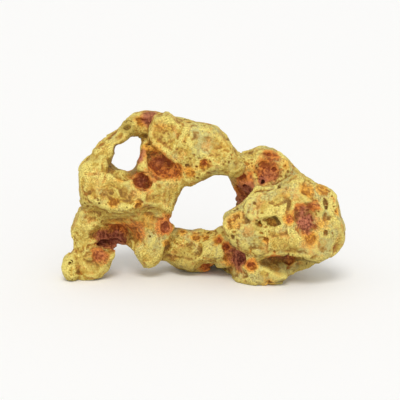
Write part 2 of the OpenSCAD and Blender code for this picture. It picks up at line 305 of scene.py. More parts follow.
def front(node, fx, fz, inward=0.0):
    """The point on a node's front, fx and fz of the way along its box, then inward mm back."""
    a, b = (np.array(v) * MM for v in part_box(node))
    x, z = a[0] + fx * (b[0] - a[0]), a[2] + fz * (b[2] - a[2])
    part, field = own[node]
    i = int(np.clip(round(x / CELL) - LO[0] - part[0].start, 0, field.shape[0] - 1))
    k = int(np.clip(round(z / CELL) - LO[2] - part[2].start, 0, field.shape[2] - 1))
    solid = np.nonzero(field[i, :, k] < 0)[0]
    j = solid[0] if len(solid) else int(np.argmin(field[i, :, k]))
    return np.array([x, (j + part[1].start + LO[1]) * CELL + inward, z])


def sampled(field, p):
    """The field at points p, in mm."""
    q = np.clip(p / CELL - LO, 0, SHAPE - 1.001)  # short of the last corner
    i = q.astype(int)
    f = (q - i).astype(np.float32)
    i = tuple(i.T)
    total = 0
    for dx in (0, 1):
        for dy in (0, 1):
            for dz in (0, 1):
                w = f[:, 0] if dx else 1 - f[:, 0]
                w = w * (f[:, 1] if dy else 1 - f[:, 1])
                w = w * (f[:, 2] if dz else 1 - f[:, 2])
                total = total + w * field[i[0] + dx, i[1] + dy, i[2] + dz]
    return total


def slope(field, p, step=None):
    step = step or CELL
    g = np.stack([sampled(field, p + e) - sampled(field, p - e) for e in np.eye(3) * step], 1)
    return g / np.maximum(np.linalg.norm(g, axis=1, keepdims=True), 1e-6)


def surface_of(field, first):
    """The field's zero surface as (points in mm, quads), with no cell corner exactly on it."""
    moved = np.copysign(np.float32(OFF_CORNERS), field)
    field = np.where(np.abs(field) < OFF_CORNERS, moved, field)
    grid = vdb.FloatGrid()
    grid.background = BAND
    grid.copyFromArray(field, ijk=tuple(int(v) for v in first))
    grid.transform = vdb.createLinearTransform(voxelSize=CELL)
    points, quads = grid.convertToQuads(isovalue=0.0)[:2]
    return points, quads


skin, _ = surface_of(rock, LO)
skin_out = slope(rock, skin, step=2.0)


def somewhere(n, where=None):
    """n random points on the skin, with the way out of the rock at each."""
    weights = None if where is None else where / where.sum()
    pick = rng.choice(len(skin), n, p=weights)
    return skin[pick], skin_out[pick]


# The rims of the alcove are worn round.
ALCOVE_RIM = -14.0  # mm, its Y
for node, fx, fz, reach in [
    ("alcove_shell", 0.30, 0.62, 26), ("alcove_shell", 0.60, 0.62, 26),
    ("alcove_shell", 0.62, 0.30, 20), ("alcove_shell", 0.24, 0.32, 20),
]:
    c = front(node, fx, fz)
    soften(np.array([c[0], ALCOVE_RIM, c[2]]), reach, sigma=4.6)

# The big planes of the rock, each by node and place on it, with the way it faces, the depth taken
# off and the reach.
LEAN = 0.8  # how far each is turned to the way the rock faces there already
LESS_DEPTH, MORE_REACH = 0.7, 1.15  # all of them are shallower and wider than listed
for node, fx, fz, facing, depth, reach in [
    ("crown_block", 0.24, 0.66, (-0.55, -0.80, 0.25), 3.0, 20),
    ("crown_block", 0.62, 0.62, (0.18, -0.88, 0.42), 3.0, 24),
    ("crown_block", 0.82, 0.70, (0.45, -0.60, 0.66), 2.4, 17),
    ("crown_block", 0.50, 0.28, (0.0, -0.97, -0.22), 1.2, 13),
    ("left_brow", 0.16, 0.62, (-0.35, -0.80, 0.48), 2.4, 17),
    ("left_brow", 0.42, 0.34, (-0.05, -0.99, -0.10), 2.0, 18),
    ("left_brow", 0.78, 0.30, (0.30, -0.92, -0.22), 2.2, 17),
    ("left_brow", 0.12, 0.30, (-0.50, -0.84, -0.20), 2.2, 14),
    ("shoulder_block", 0.46, 0.97, (0.0, -0.45, 0.88), 2.0, 16),
    ("shoulder_block", 0.20, 0.78, (-0.35, -0.86, 0.36), 2.0, 14),
    ("shoulder_block", 0.72, 0.74, (0.55, -0.55, 0.62), 2.4, 19),
    ("front_boulder", 0.36, 0.76, (-0.35, -0.64, 0.68), 3.0, 17),
    ("front_boulder", 0.24, 0.40, (-0.35, -0.93, -0.10), 2.2, 14),
    ("front_boulder", 0.50, 0.40, (0.0, -0.99, 0.10), 1.8, 14),
    ("front_boulder", 0.50, 0.10, (0.0, -0.80, -0.60), 2.6, 16),
    ("front_boulder", 0.86, 0.32, (0.42, -0.84, -0.34), 3.0, 19),
    ("front_boulder", 0.74, 0.86, (0.25, -0.66, 0.70), 3.0, 18),
    ("front_boulder", 0.95, 0.62, (0.82, -0.52, 0.22), 2.4, 15),
    ("front_boulder", 0.06, 0.52, (-0.86, -0.50, 0.05), 1.6, 10),
    ("right_toe", 0.48, 0.22, (-0.05, -0.90, -0.42), 1.8, 16),
    ("right_toe", 0.76, 0.42, (0.20, -0.90, -0.38), 2.0, 17),
    ("left_foot", 0.66, 0.50, (0.10, -0.97, 0.20), 1.6, 11),
    ("base_ledge", 0.40, 0.60, (0.0, -0.85, 0.50), 1.6, 14),
    ("alcove_shell", 0.84, 0.42, (0.25, -0.96, 0.05), 1.6, 13),
]:
    c = front(node, fx, fz)
    facing = np.array(facing) + LEAN * slope(rock, c[None, :], step=4.0)[0]
    chip(c, facing / np.linalg.norm(facing), LESS_DEPTH * depth, MORE_REACH * reach)
# A corner is off the crown.
chip(np.array([-33.0, -3.0, 143.5]), np.array([-0.15, -0.2, 0.97]), depth=3.0, reach=13)
# Small chips.
for c, n in zip(*somewhere(CHIPS)):
    facing = n + rng.normal(size=3) * 0.22
    facing /= np.linalg.norm(facing)
    chip(c, facing, depth=rng.uniform(0.2, 0.6), reach=rng.uniform(5, 10))
# Knobs.
for c, n in zip(*somewhere(KNOBS)):
    r = rng.uniform(2.6, 4.6)
    half = r * rng.uniform(0.8, 1.2, 3)
    hollow(c - n * r * 0.82, half, blend=2.6, rough=0.4, sign=-1)

# The sill of the small window and the underside of the ledge are filled out to the front.
for c, half in [
    ((-72, -9, 88.5), (11.5, 8.5, 5.5)), ((-84, -16, 99), (4.5, 5, 7)),
    ((-12, -3, 14), (11, 7, 8)),
]:
    hollow(c, half, blend=4.0, rough=0.5, sign=-1)

# Ridges, each a run of places on one node, with its radius.
for node, radius, *places in [
    ("crown_block", 2.0, (0.03, 0.72), (0.07, 0.61), (0.15, 0.54), (0.23, 0.46), (0.32, 0.37)),
    ("crown_block", 2.2, (0.41, 0.80), (0.35, 0.68), (0.30, 0.56)),
    ("front_boulder", 2.2, (0.28, 0.82), (0.36, 0.84), (0.44, 0.86)),
    ("front_boulder", 1.8, (0.28, 0.82), (0.21, 0.72), (0.19, 0.67), (0.20, 0.59)),
    ("front_boulder", 1.8, (0.20, 0.59), (0.23, 0.57), (0.33, 0.60), (0.40, 0.64)),
    ("front_boulder", 1.8, (0.04, 0.54), (0.03, 0.47), (0.06, 0.39), (0.14, 0.41)),
    ("front_boulder", 1.4, (0.25, 0.19), (0.37, 0.17), (0.49, 0.16), (0.61, 0.15), (0.70, 0.14)),
    ("front_boulder", 2.4, (0.86, 0.80), (0.90, 0.74)),
    ("shoulder_block", 1.6, (0.37, 0.96), (0.46, 0.95), (0.56, 0.90), (0.62, 0.80), (0.64, 0.71)),
    ("left_brow", 2.2, (0.13, 0.23), (0.25, 0.12), (0.37, 0.10), (0.49, 0.11), (0.61, 0.14)),
]:
    ends = [front(node, fx, fz, 0.55 * radius) for fx, fz in places]
    for a, b in zip(ends, ends[1:]):
        for t in np.linspace(0, 1, int(np.linalg.norm(b - a) / radius) + 2)[:-1]:
            half = radius * rng.uniform(0.75, 1.2, 3)
            hollow(a + (b - a) * t, half, blend=2.4, rough=0.3, sign=-1)

# The hollows and clefts that can be told apart, each by node and place on it, with its half sizes.
for node, fx, fz, half, inward in [
    ("left_brow", 0.60, 0.45, (7.0, 5.0, 7.0), 0.5),
    ("left_brow", 0.76, 0.70, (12.0, 6.0, 10.0), 0.5),
    ("left_brow", 0.71, 0.80, (7.0, 5.0, 8.0), 0.5),
    ("left_brow", 0.88, 0.60, (7.0, 4.5, 7.5), 0.8),
    ("left_brow", 0.48, 0.49, (3.6, 3.0, 3.6), 0.2),
    ("left_brow", 0.43, 0.52, (2.4, 2.4, 2.4), 0.2),
    ("left_brow", 0.70, 0.50, (3.4, 3.0, 4.0), 0.5),
    ("left_brow", 0.72, 0.78, (4.0, 3.0, 3.0), 0.6),
    ("left_brow", 0.34, 0.16, (3.2, 2.4, 2.2), 0.3),
    ("left_brow", 0.57, 0.12, (2.6, 2.4, 2.0), 0.3),
    ("crown_block", 0.50, 0.31, (1.5, 2.2, 1.5), 0.0),
    ("crown_block", 0.53, 0.25, (1.3, 2.0, 1.3), 0.0),
    ("crown_block", 0.63, 0.38, (1.4, 2.0, 1.4), 0.0),
    ("crown_block", 0.40, 0.32, (1.6, 2.0, 1.6), 0.0),
    ("rear_arch", 0.26, 0.80, (3.0, 2.6, 2.6), 0.4),
    ("rear_arch", 0.34, 0.86, (3.4, 3.0, 2.8), 0.4),
    ("alcove_shell", 0.32, 0.41, (9.0, 7.0, 3.2), 0.0),
    ("alcove_shell", 0.42, 0.40, (9.0, 5.0, 3.0), 0.5),
    ("alcove_shell", 0.90, 0.73, (4.5, 4.0, 5.5), 0.5),
    ("alcove_shell", 0.90, 0.46, (2.2, 2.0, 2.2), 0.2),
    ("base_ledge", 0.41, 0.82, (2.4, 2.2, 2.0), 0.2),
    ("base_ledge", 0.66, 0.70, (3.2, 2.4, 2.8), 0.3),
    ("base_ledge", 0.82, 0.72, (2.6, 2.2, 2.4), 0.3),
    ("shoulder_block", 0.39, 0.59, (1.8, 4.5, 1.8), 0.5),
    ("shoulder_block", 0.50, 0.88, (6.0, 3.0, 3.0), 0.5),
    ("shoulder_block", 0.24, 0.50, (5.0, 4.5, 6.0), 0.5),
    ("shoulder_block", 0.19, 0.66, (4.0, 3.6, 4.0), 0.5),
    ("front_boulder", 0.25, 0.72, (1.9, 3.0, 1.7), 0.0),
    ("front_boulder", 0.82, 0.39, (2.6, 2.6, 3.2), 0.3),
    ("front_boulder", 0.62, 0.19, (2.0, 2.4, 1.6), 0.2),
    ("front_boulder", 0.66, 0.85, (4.2, 3.0, 3.4), 0.6),
    ("front_boulder", 0.815, 0.72, (2.4, 4.5, 5.5), 0.5),
    ("front_boulder", 0.41, 0.53, (6.6, 3.2, 6.0), -0.4),
    ("front_boulder", 0.10, 0.57, (3.2, 2.2, 3.4), 0.3),
    ("front_boulder", 0.70, 0.33, (3.8, 3.4, 5.0), 0.6),
    ("front_boulder", 0.35, 0.33, (2.0, 2.0, 1.8), 0.2),
    ("front_boulder", 0.31, 0.40, (2.4, 1.8, 1.6), 0.2),
    ("front_boulder", 0.30, 0.51, (1.8, 3.0, 1.5), 0.2),
    ("front_boulder", 0.84, 0.56, (2.2, 2.0, 2.0), 0.2),
    ("right_toe", 0.02, 0.80, (3.6, 3.4, 2.8), 0.4),
    ("right_toe", 0.09, 0.68, (3.0, 3.0, 2.6), 0.3),
    ("right_toe", 0.20, 0.50, (6.5, 5.0, 6.0), 0.0),
    ("right_toe", 0.31, 0.42, (4.2, 3.8, 3.8), 0.5),
    ("right_toe", 0.10, 0.45, (3.6, 3.0, 3.4), 0.4),
    ("right_toe", 0.56, 0.30, (2.6, 2.0, 3.2), 0.3),
    ("right_toe", 0.47, 0.08, (3.4, 2.2, 1.8), 0.3),
    ("left_foot", 0.70, 0.62, (2.8, 2.6, 3.2), 0.4),
    ("left_foot", 0.68, 0.90, (5.5, 5.0, 6.5), 1.0),
    ("left_foot", 0.17, 0.67, (2.2, 4.5, 2.2), 0.0),
]:
    hollow(front(node, fx, fz, inward), half, blend=1.0, rough=0.45)


def near_skin(depth):
    """The cells within depth mm of the surface, and where they are."""
    band = np.nonzero(np.abs(rock) < depth)
    return band, ((np.stack(band, 1).astype(np.float32) + LO) * CELL).astype(np.float32)


def bend(p, by, size, seed):
    """The points moved by up to about by mm, so that what is drawn at them bends."""
    return p + by * np.stack([noise(p, size, seed=seed + i) for i in range(3)], 1)


# Broad relief: planes of two sizes, swells and creases, their edges worn down.
band, at = near_skin(depth=4.0)
bent = bend(at, by=1.8, size=9, seed=31)
rock[band] -= (
    0.75 * facets(bent, size=13, tilt=0.065, step=0.2, seed=41)
    + 0.6 * facets(bent, size=6.5, tilt=0.06, step=0.1, seed=42)
    + 0.4 * noise(bent, 17, seed=1)
    + 0.36 * (np.abs(noise(bent, 8, seed=2)) - 0.3)
)
rock = blurred(rock, sigma=0.45)
# The rim of the small window and the boulder's lower edge are worn smooth.
for c in [(-76, -6, 105), (-55, 15, 103), (-60, 10, 92)]:
    soften(np.array(c, float), reach=9, sigma=1.3)
for y in np.arange(-14, 30, 2.0):  # along the rim, which falls to the back
    hollow((-71.9, y, 117.8 - 0.213 * (y + 39)), (3.0, 3.2, 4.4), blend=1.6)
for c in [(64, -47, 37), (75, -47, 37), (86, -45, 37)]:
    soften(np.array(c, float), reach=10, sigma=1.5)

# How worn the surface is, by node and place on it: below 0 smooth, above 0 crumbled and pitted.
WEAR = [
    ("left_brow", 0.16, 0.66, 17, -1.0), ("left_brow", 0.24, 0.42, 15, -0.8),
    ("left_brow", 0.76, 0.12, 12, -0.7), ("left_brow", 0.60, 0.76, 13, 0.9),
    ("left_brow", 0.57, 0.57, 11, 0.8), ("left_brow", 0.30, 0.20, 14, 0.5),
    ("left_brow", 0.52, 0.20, 12, 0.5), ("left_brow", 0.06, 0.15, 12, 0.6),
    ("left_brow", 0.90, 0.55, 10, 0.9),
    ("crown_block", 0.43, 0.78, 16, -0.8), ("crown_block", 0.62, 0.66, 14, -0.7),
    ("crown_block", 0.48, 0.26, 13, 1.0), ("crown_block", 0.24, 0.70, 11, 0.4),
    ("crown_block", 0.80, 0.42, 12, 0.5),
    ("rear_arch", 0.15, 0.50, 15, -0.9), ("rear_arch", 0.27, 0.80, 12, 0.8),
    ("alcove_shell", 0.76, 0.90, 13, -0.8), ("alcove_shell", 0.84, 0.42, 14, -0.8),
    ("alcove_shell", 0.10, 0.50, 15, 0.6),
    ("front_boulder", 0.84, 0.24, 17, -1.0), ("front_boulder", 0.93, 0.45, 12, -0.9),
    ("front_boulder", 0.64, 0.23, 13, -0.6), ("front_boulder", 0.33, 0.76, 12, -0.7),
    ("front_boulder", 0.48, 0.37, 9, -0.6), ("front_boulder", 0.10, 0.50, 10, 1.0),
    ("front_boulder", 0.15, 0.30, 12, 1.0), ("front_boulder", 0.34, 0.52, 11, 1.0),
    ("front_boulder", 0.74, 0.84, 13, 0.8), ("front_boulder", 0.84, 0.68, 11, 0.8),
    ("front_boulder", 0.66, 0.56, 13, 0.5),
    ("shoulder_block", 0.42, 0.97, 14, -0.8), ("shoulder_block", 0.25, 0.80, 12, 0.6),
    ("base_ledge", 0.50, 0.62, 15, 0.5),
    ("right_toe", 0.12, 0.50, 13, 0.9), ("right_toe", 0.60, 0.25, 17, -0.6),
    ("left_foot", 0.60, 0.60, 13, 0.3),
]


def wear_at(p):
    wear = 0.9 * noise(p, 22, seed=50) + 0.35 * noise(p, 8, seed=52)
    for node, fx, fz, radius, amount in WEAR:
        c = front(node, fx, fz).astype(np.float32)
        i = np.nonzero(np.abs(p[:, 0] - c[0]) < 1.25 * radius)[0]  # where the ramp starts
        wear[i] += amount * ramp(-np.linalg.norm(p[i] - c, axis=1) / radius, -1.25, -0.35)
    return np.clip(wear, -1, 1.2)


# Pores, in patches, and a few bigger pits.
patchy = ramp(wear_at(skin.astype(np.float32)) + 0.7 * noise(skin, 5, seed=6), 0.05, 0.75) + 0.03
for c, n in zip(*somewhere(PORES, patchy)):
    r = rng.uniform(0.5, 1.1)
    hollow(c + n * rng.uniform(-0.1, 0.5) * r, r * rng.uniform(0.7, 1.3, 3), blend=0.4)
for c, n in zip(*somewhere(PITS, patchy**2)):
    r = rng.uniform(1.2, 2.2)
    hollow(c + n * 0.3, r * rng.uniform(0.7, 1.25, 3), blend=0.7, rough=0.3)

# Fine relief: crumbs, grain and faint level strata.
band, at = near_skin(depth=2.4)
bent = bend(at, by=1.2, size=7, seed=34)
wear = wear_at(at)
worn = 0.62 + 0.5 * wear
level = at * np.float32((0.16, 0.16, 1))  # its lumps, drawn out along X and Y, are layers
strata = ramp(noise(at, 30, seed=51), -0.15, 0.4) * noise(level, 2.2, seed=13)
rock[band] -= (
    worn * (0.45 * (np.abs(noise(bent, 3.6, seed=10)) - 0.3) + 0.23 * noise(at, 2.2, seed=11))
    + (0.4 + 0.5 * worn) * 0.2 * noise(at, 1.5, seed=12)
    + 0.16 * strata
)
del bent, band, at, wear, worn, level, strata

# The feet are cut flat.
z_cells = np.arange(SHAPE[2], dtype=np.float32) + LO[2]
rock = np.maximum(rock, (low_mm[2] + SOLE - z_cells * CELL)[None, None, :])

# Where the paint gathers, and where shade is painted: the creases, recesses and broad hollows.
# Each has the blur that finds it, and what the blurred field comes to where there is most of it,
# both in mm.
CREASE, RECESS, DEPTH = (0.9, 0.16), (2.4, 0.75), (7.0, 2.2)
close = blurred(rock, CREASE[0])
wide = blurred(rock, RECESS[0])
wider = blurred(np.clip(rock, -5, 5), DEPTH[0])

# ---- stains: rust, plum, amber or olive paint, a few of them painted shade ----------------------

RUST, PLUM, AMBER, OLIVE = range(4)
STAINS = [
    ("left_brow", 0.78, 0.66, 14, RUST, 1.0), ("left_brow", 0.76, 0.72, 7, PLUM, 0.6),
    ("left_brow", 0.90, 0.60, 9, AMBER, 1.0), ("left_brow", 0.87, 0.60, 11, RUST, 0.8),
    ("crown_block", 0.10, 0.53, 8, AMBER, 0.9),
    ("left_brow", 0.83, 0.56, 9, AMBER, 0.8), ("left_brow", 0.74, 0.84, 9, AMBER, 0.6),
    ("left_brow", 0.60, 0.45, 7, PLUM, 0.7), ("left_brow", 0.60, 0.45, 12, RUST, 1.0),
    ("left_brow", 0.69, 0.55, 10, RUST, 0.7), ("left_brow", 0.47, 0.49, 9, AMBER, 1.0),
    ("left_brow", 0.41, 0.53, 6, AMBER, 0.7), ("left_brow", 0.34, 0.17, 6, AMBER, 0.7),
    ("left_brow", 0.57, 0.29, 6, AMBER, 0.5), ("left_brow", 0.57, 0.13, 5, AMBER, 0.8),
    # The plum from 0.79 to 0.87 up the brow, on the small window's inner wall: partly paint, partly
    # painted shade.
    ("left_brow", 0.18, 0.38, 12, AMBER, 0.4), ("left_brow", 0.57, 0.84, 7, PLUM, 0.9),
    ("left_brow", 0.56, 0.70, 7, PLUM, 0.9), ("left_brow", 0.55, 0.61, 6, OLIVE, 0.9),
    ("left_brow", 0.575, 0.79, 5, PLUM, 0.9), ("left_brow", 0.60, 0.87, 5, PLUM, 0.7),
    ("left_brow", 0.64, 0.90, 8, AMBER, 0.9), ("left_brow", 0.65, 0.82, 7, RUST, 0.5),
    ("left_brow", 0.05, 0.12, 10, OLIVE, 0.6), ("left_brow", 0.20, 0.22, 9, OLIVE, 0.4),
    ("crown_block", 0.20, 0.28, 10, RUST, 0.9), ("crown_block", 0.16, 0.42, 9, AMBER, 0.7),
    ("crown_block", 0.58, 0.35, 6.5, AMBER, 1.0), ("crown_block", 0.58, 0.36, 4, RUST, 0.9),
    ("crown_block", 0.44, 0.24, 5.5, AMBER, 1.0), ("crown_block", 0.50, 0.30, 5, AMBER, 0.5),
    ("crown_block", 0.12, 0.81, 9, AMBER, 0.5), ("crown_block", 0.78, 0.57, 10, AMBER, 0.4),
    ("crown_block", 0.86, 0.30, 12, OLIVE, 0.5), ("crown_block", 0.62, 0.15, 9, OLIVE, 0.5),
    ("rear_arch", 0.40, 0.92, 9, PLUM, 0.8), ("rear_arch", 0.42, 0.84, 7, PLUM, 0.7),
    ("rear_arch", 0.34, 0.86, 6.5, AMBER, 1.0), ("rear_arch", 0.26, 0.80, 8, OLIVE, 0.9),
    ("rear_arch", 0.22, 0.62, 8, AMBER, 0.4),
    ("alcove_shell", 0.45, 0.70, 19, AMBER, 0.7), ("alcove_shell", 0.47, 0.68, 14, RUST, 0.85),
    ("alcove_shell", 0.62, 0.68, 12, RUST, 0.75), ("alcove_shell", 0.30, 0.46, 10, PLUM, 1.0),
    ("alcove_shell", 0.42, 0.40, 11, PLUM, 1.0), ("alcove_shell", 0.90, 0.74, 7, PLUM, 0.5),
    ("alcove_shell", 0.89, 0.76, 11, RUST, 1.0), ("alcove_shell", 0.74, 0.84, 10, AMBER, 0.6),
    ("alcove_shell", 0.90, 0.46, 5, AMBER, 0.9), ("alcove_shell", 0.14, 0.60, 9, OLIVE, 0.5),
    ("alcove_shell", 0.72, 0.72, 14, OLIVE, 0.45), ("alcove_shell", 0.78, 0.36, 10, OLIVE, 0.4),
    # This olive high on the alcove, under the brow's overhang, is painted shade.
    ("alcove_shell", 0.40, 0.90, 14, OLIVE, 0.5),
    ("base_ledge", 0.06, 0.72, 10, AMBER, 0.7), ("base_ledge", 0.41, 0.82, 5, AMBER, 0.9),
    ("base_ledge", 0.66, 0.70, 6, AMBER, 0.9), ("base_ledge", 0.82, 0.72, 5, AMBER, 0.7),
    ("base_ledge", 0.50, 0.15, 14, OLIVE, 0.7),
    ("shoulder_block", 0.44, 0.74, 14, RUST, 1.0), ("shoulder_block", 0.46, 0.66, 11, PLUM, 0.5),
    ("shoulder_block", 0.46, 0.90, 9, RUST, 0.9), ("shoulder_block", 0.38, 0.59, 6, PLUM, 1.0),
    ("shoulder_block", 0.24, 0.48, 11, PLUM, 0.9), ("shoulder_block", 0.22, 0.60, 11, RUST, 1.0),
    ("shoulder_block", 0.26, 0.76, 9, AMBER, 0.6), ("shoulder_block", 0.62, 0.80, 7, AMBER, 0.6),
    ("rear_column", 0.30, 0.75, 14, RUST, 0.9), ("rear_column", 0.30, 0.55, 12, PLUM, 0.7),
    ("front_boulder", 0.66, 0.50, 9, PLUM, 1.0), ("front_boulder", 0.63, 0.60, 8, PLUM, 0.8),
    ("front_boulder", 0.61, 0.68, 6, RUST, 1.0), ("front_boulder", 0.72, 0.69, 6, RUST, 1.0),
    ("front_boulder", 0.53, 0.56, 4, RUST, 0.9), ("front_boulder", 0.53, 0.57, 6.5, AMBER, 1.0),
    ("front_boulder", 0.70, 0.34, 9, AMBER, 0.9), ("front_boulder", 0.79, 0.50, 7, AMBER, 0.7),
    ("front_boulder", 0.39, 0.53, 8, OLIVE, 0.9), ("front_boulder", 0.29, 0.49, 6, OLIVE, 0.9),
    ("front_boulder", 0.10, 0.52, 9, AMBER, 0.7), ("front_boulder", 0.67, 0.86, 8, AMBER, 1.0),
    ("front_boulder", 0.79, 0.85, 7, AMBER, 1.0), ("front_boulder", 0.50, 0.84, 7, AMBER, 0.5),
    ("front_boulder", 0.35, 0.33, 4.5, AMBER, 0.8), ("front_boulder", 0.27, 0.30, 8, OLIVE, 0.5),
    ("front_boulder", 0.42, 0.12, 8, RUST, 0.9), ("front_boulder", 0.92, 0.62, 5, AMBER, 0.9),
    ("front_boulder", 0.88, 0.20, 14, OLIVE, 0.25),
    ("right_toe", 0.02, 0.80, 6, AMBER, 1.0), ("right_toe", 0.03, 0.82, 4, RUST, 0.9),
    ("right_toe", 0.10, 0.68, 6, RUST, 1.0), ("right_toe", 0.20, 0.50, 11, PLUM, 1.0),
    ("right_toe", 0.13, 0.42, 8, AMBER, 0.9), ("right_toe", 0.31, 0.44, 8, AMBER, 1.0),
    # The olive and rust from 0.43 to 0.76 along the toe darken the slot under the boulder: painted
    # shade.
    ("right_toe", 0.30, 0.46, 6, RUST, 0.9), ("right_toe", 0.65, 0.46, 9, OLIVE, 1.0),
    ("right_toe", 0.76, 0.45, 8, OLIVE, 1.0), ("right_toe", 0.60, 0.56, 7, PLUM, 0.6),
    ("right_toe", 0.54, 0.52, 7, OLIVE, 0.8), ("right_toe", 0.43, 0.60, 8, OLIVE, 1.0),
    ("right_toe", 0.68, 0.50, 9, RUST, 0.7), ("right_toe", 0.50, 0.56, 7, RUST, 0.5),
    ("right_toe", 0.47, 0.08, 8, AMBER, 0.6), ("right_toe", 0.56, 0.32, 7, AMBER, 0.5),
    ("right_toe", 0.80, 0.30, 16, OLIVE, 0.7),
    ("mid_foot", 0.84, 0.50, 9, RUST, 0.9), ("mid_foot", 0.40, 0.40, 12, OLIVE, 0.7),
    # At the top of the foot beside the den, the olive, rust and plum are partly stain, partly
    # painted shade.
    ("left_foot", 0.68, 0.86, 11, OLIVE, 1.0), ("left_foot", 0.70, 0.94, 9, RUST, 1.0),
    ("left_foot", 0.72, 0.92, 9, PLUM, 0.45), ("left_foot", 0.64, 0.60, 8, OLIVE, 0.5),
    ("left_foot", 0.70, 0.90, 8, AMBER, 0.5), ("left_foot", 0.90, 0.30, 8, OLIVE, 0.6),
]


def stains_at(p, recess):
    """How much rust, plum, amber and olive is at points p, 0 to 1; a little is painted shade."""
    amount = np.zeros((len(p), 4), np.float32)
    ragged = 0.26 * noise(p, 7, seed=21) + 0.17 * noise(p, 3, seed=22)
    ragged = ragged + 0.10 * noise(p, 1.4, seed=23)
    for node, fx, fz, radius, kind, strength in STAINS:
        d = p - front(node, fx, fz, inward=1.0).astype(np.float32)
        d[:, 1] *= 0.75  # a stain goes further in than it does sideways
        near = np.linalg.norm(d, axis=1) / radius
        amount[:, kind] = np.maximum(amount[:, kind], strength * ramp(ragged - near, -1.35, -0.35))
        if kind in (RUST, PLUM):  # a stain fades through amber
            halo = 0.45 * strength * ramp(ragged * 1.3 - near / 1.3, -1.3, -0.4)
            amount[:, AMBER] = np.maximum(amount[:, AMBER], halo)
        if kind == PLUM:
            halo = 0.85 * strength * ramp(ragged - near / 1.2, -1.3, -0.4)
            amount[:, RUST] = np.maximum(amount[:, RUST], halo)
    # All round, the paint pools as amber in deep places, and a few hollows have gone rusty.
    pool = ramp(noise(p, 15, seed=24) + 0.4 * noise(p, 5, seed=25), 0.15, 0.6)
    pool = 0.7 * pool * ramp(recess + 0.5 * ragged, -0.1, 0.7)
    amount[:, AMBER] = np.maximum(amount[:, AMBER], pool)
    rusty = ramp(noise(p, 26, seed=26), 0.34, 0.6) * ramp(recess, 0.15, 0.8)
    amount[:, RUST] = np.maximum(amount[:, RUST], 0.7 * rusty)
    return amount


# ---- meshes -------------------------------------------------------------------------------------


def biggest_piece(points, quads):
    """Drops loose crumbs and sealed bubbles, which are only a few cells across."""
    label = np.arange(len(points))
    edges = np.concatenate([quads[:, [0, 1]], quads[:, [1, 2]], quads[:, [2, 3]]])
    while True:
        lowest = np.minimum(label[edges[:, 0]], label[edges[:, 1]])
        before = label.copy()
        np.minimum.at(label, edges[:, 0], lowest)
        np.minimum.at(label, edges[:, 1], lowest)
        label = label[label]
        if (label == before).all():
            break
    keep = label == np.bincount(label[quads[:, 0]]).argmax()
    number = np.cumsum(keep) - 1
    return points[keep], number[quads[keep[quads[:, 0]]]]


def mesh_object(name, points, quads, normals):
    mesh = bpy.data.meshes.new(name)
    mesh.vertices.add(len(points))
    mesh.vertices.foreach_set("co", (points / MM).astype(np.float32).ravel())
    mesh.loops.add(quads.size)
    mesh.loops.foreach_set("vertex_index", quads.astype(np.int32).ravel())
    mesh.polygons.add(len(quads))
    mesh.polygons.foreach_set("loop_start", np.arange(0, quads.size, 4, dtype=np.int32))
    mesh.update(calc_edges=True)
    mesh.polygons.foreach_set("use_smooth", np.ones(len(quads), bool))
    mesh.normals_split_custom_set_from_vertices(normals.tolist())
    o = bpy.data.objects.new(name, mesh)
    bpy.context.scene.collection.objects.link(o)
    return o


def attribute(mesh, name, kind, values):
    layer = mesh.attributes.new(name, kind, "POINT")
    values = np.ascontiguousarray(values, np.float32)
    layer.data.foreach_set({"FLOAT": "value", "FLOAT_COLOR": "color"}[kind], values.ravel())


visuals = []
for name in CASTINGS:
    part, field = own[name]
    others = np.where(field <= nearest[part], second[part], nearest[part])
    mine = 0.5 * (field - others) - OVERLAP
    first = np.array([s.start for s in part]) + LO
    points, quads = surface_of(np.maximum(rock[part], mine), first)
    points, quads = biggest_piece(points, quads)
    a, b, c = (points[quads[:, i]] for i in (0, 1, 2))
    if np.einsum("ij,ij->i", a, np.cross(b, c)).sum() < 0:
        quads = quads[:, ::-1]
    out = slope(rock, points, step=CELL * 0.75)
    o = mesh_object(name + "_rock", points, quads, out)
    crease = np.clip(-sampled(close, points) / CREASE[1], -1, 1)
    recess = np.clip(-sampled(wide, points) / RECESS[1], -1, 1)
    depth = np.clip(-sampled(wider, points) / DEPTH[1], -1, 1)
    amount = stains_at(points.astype(np.float32), recess)
    attribute(o.data, "crease", "FLOAT", crease)
    attribute(o.data, "recess", "FLOAT", recess)
    attribute(o.data, "depth", "FLOAT", depth)
    # How far each point faces down, for the painted shade on the undersides.
    attribute(o.data, "under", "FLOAT", -slope(wide, points, step=1.5)[:, 2])
    attribute(o.data, "stain", "FLOAT_COLOR", amount)
    attribute(o.data, "olive", "FLOAT", amount[:, OLIVE])
    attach(o, "root")
    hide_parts(name)
    visuals.append(o)

# ---- materials ----------------------------------------------------------------------------------


